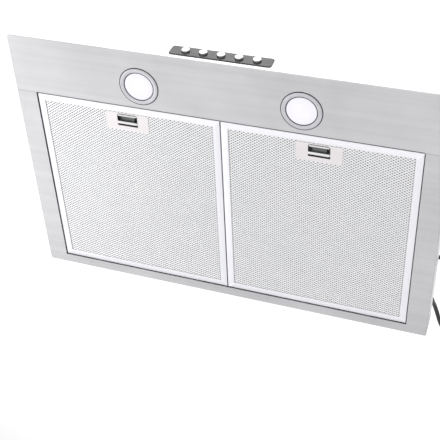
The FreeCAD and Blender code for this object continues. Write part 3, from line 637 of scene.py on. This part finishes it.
def turned_ring():
    """Lathe-turned metal: very fine circles about each lamp's middle, from its distance to it."""
    add, finish = shader("turned_lamp_ring", 0.34, 1.0)
    place = add("TexCoord")["Object"]
    axes = add("SeparateXYZ", Vector=place)
    side = add("Math", {"operation": "ABSOLUTE"}, i0=axes[0])["Value"]
    x = add("Math", {"operation": "SUBTRACT"}, i0=side, i1=0.139)["Value"]
    y = add("Math", {"operation": "ADD"}, i0=axes[1], i1=0.1855)["Value"]
    flat = add("CombineXYZ", X=x, Y=y)["Vector"]
    reach = add("VectorMath", {"operation": "LENGTH"}, i0=flat)["Value"]
    spread = add("CombineXYZ", X=reach)["Vector"]
    lines = add("TexNoise", Vector=spread, Scale=1400.0, Detail=3.0)["Fac"]
    cloud = stretched(add, 60, 60, 60)
    return finish(
        Base_Color=tinted(add, cloud, (0.52, 0.52, 0.55), (0.70, 0.70, 0.74)),
        Roughness=ranged(add, lines, 0.26, 0.44),
        Normal=bumped(add, lines, 0.3, 0.0001),
    )


def frosted_lens():
    """A lit diffuser: its glow falls towards the rim, in faint rings, with a pattern of grains."""
    add, finish = shader("frosted_lens", 0.35)
    place = add("TexCoord")["Object"]
    axes = add("SeparateXYZ", Vector=place)
    side = add("Math", {"operation": "ABSOLUTE"}, i0=axes[0])["Value"]
    x = add("Math", {"operation": "SUBTRACT"}, i0=side, i1=0.139)["Value"]
    y = add("Math", {"operation": "ADD"}, i0=axes[1], i1=0.1855)["Value"]
    flat = add("CombineXYZ", X=x, Y=y)["Vector"]
    reach = add("VectorMath", {"operation": "LENGTH"}, i0=flat)["Value"]
    wave = add("Math", {"operation": "MULTIPLY"}, i0=reach, i1=2 * math.pi / 0.0042)["Value"]
    rings = add("Math", {"operation": "SINE"}, i0=wave)["Value"]
    fall = add("MapRange", i0=reach, i1=0.010, i2=0.0252, i3=1.0, i4=0.86)["Result"]
    ringed = add("Math", {"operation": "MULTIPLY_ADD"}, i0=rings, i1=0.018, i2=fall)["Value"]
    grains = add("TexVoronoi", Vector=place, Scale=420.0)["Distance"]
    glow = add("Math", {"operation": "MULTIPLY_ADD"}, i0=grains, i1=-0.06, i2=ringed)["Value"]
    return finish(
        Base_Color=tinted(add, glow, (0.42, 0.41, 0.46), (0.66, 0.65, 0.70)),
        Emission_Color=tinted(add, glow, (0.50, 0.46, 0.62), (0.95, 0.93, 1.0)),
        Emission_Strength=0.32,
        Normal=bumped(add, rings, 0.25, 0.0002),
    )


def white_enamel():
    add, finish = shader("white_enamel", 0.45)
    cloud = stretched(add, 40, 40, 40)
    peel = stretched(add, 420, 420, 420)
    return finish(
        Base_Color=tinted(add, cloud, (0.66, 0.66, 0.65), (0.80, 0.80, 0.79)),
        Roughness=ranged(add, cloud, 0.38, 0.55),
        Normal=bumped(add, peel, 0.2, 0.0002),
    )


def led_board():
    """White solder mask with a square grid of small yellow emitters."""
    add, finish = shader("led_board", 0.5)
    place = add("TexCoord")["Object"]
    square = {"voronoi_dimensions": "2D", "distance": "CHEBYCHEV"}
    chips = add("TexVoronoi", square, Vector=place, Scale=95.0, Randomness=0.0)["Distance"]
    edge = add("MapRange", i0=chips, i1=0.16, i2=0.18, i3=0.0, i4=1.0)["Result"]
    return finish(
        Base_Color=tinted(add, edge, (0.80, 0.62, 0.12), (0.78, 0.79, 0.76)),
        Normal=bumped(add, edge, 0.4, 0.0004),
    )


ring_metal = turned_ring()
lens_plastic = frosted_lens()
# A black finish for painted shadow in gaps: round each lamp and along the panel's rear edge.
gap_shade_black = moulded("lamp_gasket_rubber", (0.010, 0.012, 0.011), (0.028, 0.030, 0.029), 0.5, 0.7)
ring_radius = [33.6, 33.55, 33.3, 32.7, 31.4, 31.1, 30.8, 27.4]
ring_radius += [26.9, 26.6, 26.5, 26.5, 29.4, 29.6, 29.6, 33.6]
ring_height = [0, -0.7, -1.05, -1.25, -1.3, -1.12, -1.3, -1.3]
ring_height += [-1.15, -0.8, -0.3, 6.0, 6.0, 5.6, 0, 0]
lens_radius = [0.01, 5, 10, 14.5, 18, 21, 23, 24.3, 25.0, 25.2, 25.2, 24.4, 0.01]
lens_height = [-1.05, -1.04, -1.0, -0.94, -0.87, -0.78, -0.68, -0.56, -0.35, 0.0, 2.0, 2.0, 2.0]
for name, (x, y) in zip(("left", "right"), LAMP_AT):
    at = (x, y, UNDERSIDE)
    ring = [(lathe(at, UP, ring_radius, ring_height, LAMP_SIDES), True, True, False)]
    ring_node = f"lamp_bezel_{name}"
    piece(f"lamp_ring_{name}", ring, ring_metal, "hood", [ring_node], 24)
    # Two black rings, at the metal ring's outer edge and round the lens, are painted shadow of the gaps
    # there.
    outer = lathe(at, UP, [33.0, 34.9, 35.0, 34.9, 33.0], [-0.55, -0.5, -0.25, 0, 0], LAMP_SIDES)
    inner = lathe(at, UP, [25.3, 26.45, 26.45, 25.3], [-0.75, -0.75, 1.5, 1.5], LAMP_SIDES)
    gap_shade_rings = [(outer, True, True, False), (inner, True, True, False)]
    piece(f"lamp_gasket_{name}", gap_shade_rings, gap_shade_black, "hood")
    dome = [(lathe(at, UP, lens_radius, lens_height, LAMP_SIDES), False, True, True)]
    lens_node = f"lamp_lens_{name}"
    piece(f"lamp_diffuser_{name}", dome, lens_plastic, "hood", [lens_node], 50)
# A thin black strip: painted shadow of the gap between the panel and the filters.
shadow_strip = [plank(-336, 336, -143.5, -142.5, -130.12, -129.4)]
piece("front_shadow_strip", shadow_strip, gap_shade_black, "hood")
coat(white_enamel(), "lamp_can_left", "lamp_can_right")
coat(led_board(), "led_boards")
coat(spring_steel, "lamp_clips")


# ---- Push buttons ------------------------------------------------------------------------
# Five round plated caps in a glossy black strip on the fascia switch the fan off, set its
# three speeds and light the lamps. They spring back from a switch block inside.

BUTTONS = ("off", "low", "medium", "high", "light")
BUTTON_PITCH = 30
BUTTON_Z = -107.5
CAP_FRONT = -255.0


def turned_cap():
    """Spun metal caps: fine circles about each cap's middle, found by folding X at the pitch."""
    add, finish = shader("spun_cap", 0.3, 1.0)
    place = add("TexCoord")["Object"]
    axes = add("SeparateXYZ", Vector=place)
    folded = add("Math", {"operation": "PINGPONG"}, i0=axes[0], i1=BUTTON_PITCH * MM / 2)["Value"]
    z = add("Math", {"operation": "SUBTRACT"}, i0=axes[2], i1=BUTTON_Z * MM)["Value"]
    flat = add("CombineXYZ", X=folded, Y=z)["Vector"]
    reach = add("VectorMath", {"operation": "LENGTH"}, i0=flat)["Value"]
    spread = add("CombineXYZ", X=reach)["Vector"]
    lines = add("TexNoise", Vector=spread, Scale=2600.0, Detail=3.0)["Fac"]
    return finish(
        Base_Color=tinted(add, lines, (0.55, 0.55, 0.56), (0.74, 0.74, 0.75)),
        Roughness=ranged(add, lines, 0.20, 0.38),
        Normal=bumped(add, lines, 0.3, 0.0001),
    )


def stroke(points, width, closed, depth=0.12):
    """A flat bar of that width that follows points on a cap's face: its section is a rectangle,
    set square to the path at each point."""
    path = np.array(points, float)
    ahead_of = np.roll(path, -1, axis=0) if closed else np.vstack([path[1:], 2 * path[-1] - path[-2]])
    behind = np.roll(path, 1, axis=0) if closed else np.vstack([2 * path[0] - path[1], path[:-1]])
    along = ahead_of - behind
    along /= np.linalg.norm(along, axis=1)[:, None]
    square = np.column_stack([-along[:, 1], along[:, 0]]) * width / 2
    corners = []
    for side, y in ((1, 0.15), (1, -depth), (-1, -depth), (-1, 0.15)):
        flat = path + side * square
        face = np.full(len(path), CAP_FRONT + y)
        corners.append(np.column_stack([flat[:, 0], face, flat[:, 1] + BUTTON_Z]))
    return (np.stack(corners, 1), closed, True, not closed)


def circle(x, z, radius, start=0, stop=360, sides=24):
    turn = np.radians(np.linspace(start, stop, sides, endpoint=abs(stop - start) < 360))
    return np.column_stack([x + radius * np.cos(turn), z + radius * np.sin(turn)])


def button_signs(name, x):
    """Plain signs: a power mark, one to three bars, and a bulb with three rays."""
    if name == "off":
        open_ring = stroke(circle(x, 0, 2.4, 120, 420), 0.6, False)
        return [open_ring, stroke([(x, 0.6), (x, 3.2)], 0.6, False)]
    if name == "light":
        sign = [stroke(circle(x, -0.6, 1.6), 0.5, True)]
        for turn in (0.6, math.pi / 2, math.pi - 0.6):
            c, s = math.cos(turn), math.sin(turn)
            ray = [(x + r * c, -0.6 + r * s) for r in (2.3, 3.4)]
            sign.append(stroke(ray, 0.5, False))
        return sign
    count = BUTTONS.index(name)
    lefts = [x + 1.5 * (i - (count - 1) / 2) for i in range(count)]
    return [stroke([(at, -1.8), (at, 1.8)], 0.6, False) for at in lefts]


cap_metal = turned_cap()
sign_paint = moulded("sign_enamel", (0.02, 0.02, 0.02), (0.05, 0.05, 0.05), 0.3, 0.45)
for i, name in enumerate(BUTTONS):
    x = (i - 2) * BUTTON_PITCH
    coat(cap_metal, f"button_{name}")
    piece(f"button_sign_{name}", button_signs(name, x), sign_paint, f"button_{name}")
jet, soft_jet = (0.010, 0.010, 0.011), (0.022, 0.022, 0.023)
gloss_black = moulded("gloss_black", jet, soft_jet, 0.10, 0.22, 300, 0.00005)
matte_black = moulded("matte_black", (0.020, 0.020, 0.020), (0.042, 0.042, 0.041), 0.5, 0.68)
coat(gloss_black, "control_bezel")
coat(matte_black, "switch_block")


# ---- Blower ------------------------------------------------------------------------------
# A galvanised spiral casing hangs from the housing's top, with a flared inlet and a wire guard
# below it. A bladed wheel turns in it on the motor's shaft, held by a nut.


def galvanised(name, tint=1.0):
    """Zinc spangle: flat crystals of slightly different brightness and gloss, with pale bloom."""
    add, finish = shader(name, 0.42, 1.0)
    place = add("TexCoord")["Object"]
    crystal = add("TexVoronoi", Vector=place, Scale=85.0)["Color"]
    value = add("SeparateXYZ", Vector=crystal)[0]
    bloom = stretched(add, 14, 14, 14)
    tone = add("Math", {"operation": "MULTIPLY_ADD"}, i0=bloom, i1=0.7, i2=-0.1)["Value"]
    mixed = add("Math", {"operation": "MULTIPLY_ADD"}, i0=value, i1=0.35, i2=tone)["Value"]
    dark, light = [c * tint for c in (0.38, 0.40, 0.41)], [c * tint for c in (0.66, 0.68, 0.69)]
    return finish(
        Base_Color=tinted(add, mixed, dark, light),
        Roughness=ranged(add, mixed, 0.34, 0.52),
        Normal=bumped(add, value, 0.08, 0.0001),
    )


zinc_sheet = galvanised("galvanised_sheet")
wheel_sheet = galvanised("wheel_sheet", 1.15)
wire_grey, wire_pale = (0.45, 0.45, 0.45), (0.75, 0.75, 0.74)
wire_metal = brushed("guard_wire", wire_grey, wire_pale, 0.2, 0.34, (200, 200, 200))
coat(zinc_sheet, "blower_casing", "blower_inlet_plate", "junction_box", "capacitor_strap")
coat(wheel_sheet, "fan_wheel")
coat(wire_metal, "inlet_guard")
coat(zinc, "motor_shaft", "wheel_nut")
turned_steel = galvanised("motor_casing", 0.75)
coat(turned_steel, "motor")
coat(moulded("capacitor_case", (0.55, 0.55, 0.53), (0.68, 0.68, 0.65), 0.35, 0.5, 500), "run_capacitor")


def spiral(degrees):
    """A point 4.5 mm outside the spiral wall, whose radius grows evenly with angle."""
    radius = 113 + 52 * (degrees - 50) / 310 + 4.5
    turn = math.radians(degrees)
    return (-118 + radius * math.cos(turn), 10 + radius * math.sin(turn), -98)


under_plate = [spiral(degrees) for degrees in (85, 150, 215, 280, 340)]
under_plate += [(84.5, 180, -98), (-84.5, 200, -98)]
under_heads = screw_heads(under_plate, (0, 0, -1), 3.4, 1.8)
piece("blower_screw_heads", under_heads, zinc, "hood", ["blower_screws"])


# ---- Duct collar and damper --------------------------------------------------------------
# A galvanised spigot for a 6 inch duct stands on the top, rolled over at its mouth and beaded
# below it. Two half-round flaps on a pin lift in the air stream and fall shut.

collar_at = (0, 165, 0)
spigot_radius = [88, 88, 87.5, 76.5, 75.2, 74.8, 74.8, 74.4, 74.8]
spigot_radius += [74.8, 74.5, 74.1, 73.8, 73.8, 70.6, 70.6, 73.8, 73.8]
spigot_height = [0, 0.8, 1.0, 1.0, 1.3, 2.4, 31, 32.2, 33.4]
spigot_height += [47.4, 47.9, 48, 47.4, 19.2, 19.2, 18.2, 18.2, 0]
spigot = [(lathe(collar_at, UP, spigot_radius, spigot_height, 96), True, True, False)]
piece("duct_spigot", spigot, zinc_sheet, "hood", ["duct_collar"], 30)
coat(zinc_sheet, "damper_flap_front", "damper_flap_rear")
coat(zinc, "damper_pin")
